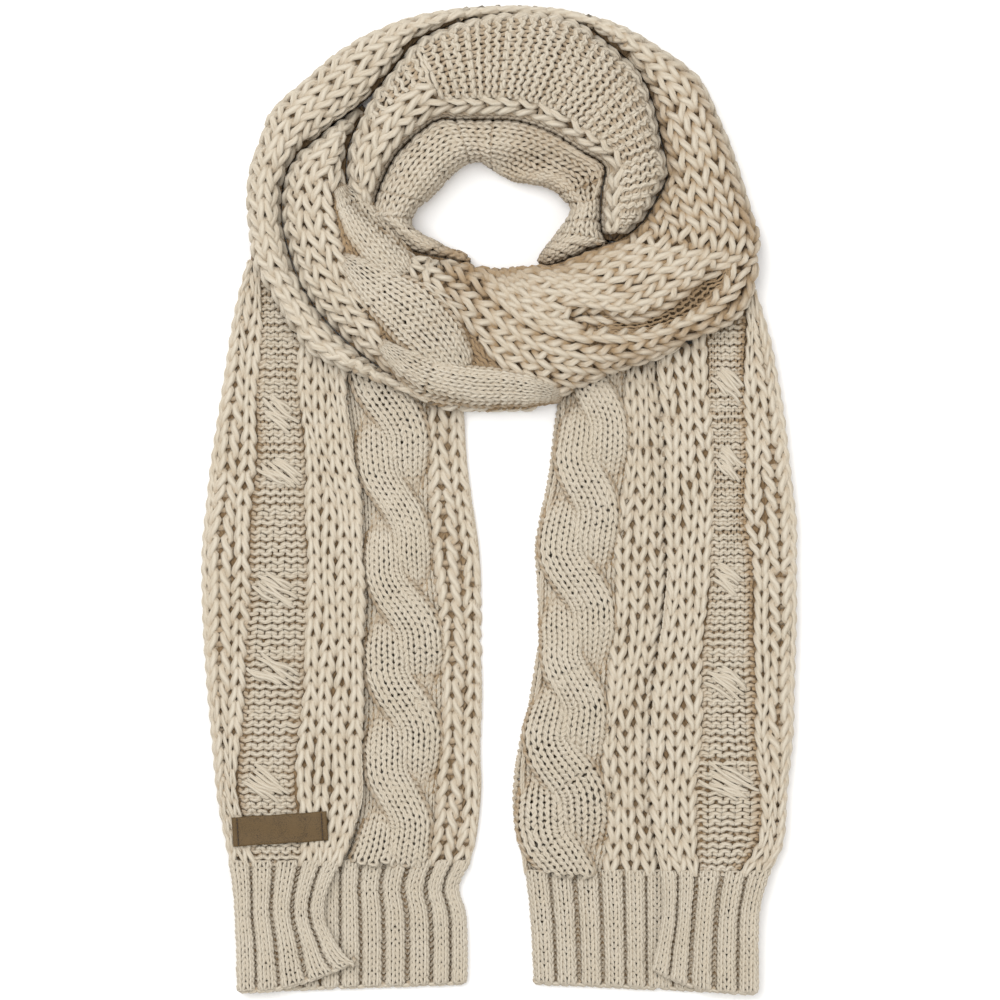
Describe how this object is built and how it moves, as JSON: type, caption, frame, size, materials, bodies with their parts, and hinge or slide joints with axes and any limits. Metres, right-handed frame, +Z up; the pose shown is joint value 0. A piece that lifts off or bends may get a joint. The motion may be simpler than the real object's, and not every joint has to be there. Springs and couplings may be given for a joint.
{
  "type": "knit scarf",
  "caption": "Chunky cable-knit scarf wound into a ring round a neck opening and laid flat, both ends hanging straight, each folded over lengthwise with a ribbed cuff and a blank patch on one.",
  "frame": {"origin": "centre of the object's outline on the surface that it lies on", "axes": "+Z up out of that surface, +Y from the two hems towards the back of the neck ring, +X to the right of a viewer who looks straight down with the hems nearest"},
  "size_m": [0.357, 0.5949, 0.0453],
  "materials": {
    "knit": "thick oatmeal acrylic and wool yarn, matt and softly hairy",
    "label": "brown imitation leather with a fine grain, bare"
  },
  "bodies": {
    "root": {"left_end": "knit", "right_end": "knit", "back_wrap": "knit", "front_wrap": "knit", "back_collar": "knit", "neck_band": "knit", "label": "label"}
  },
  "joints": []
}
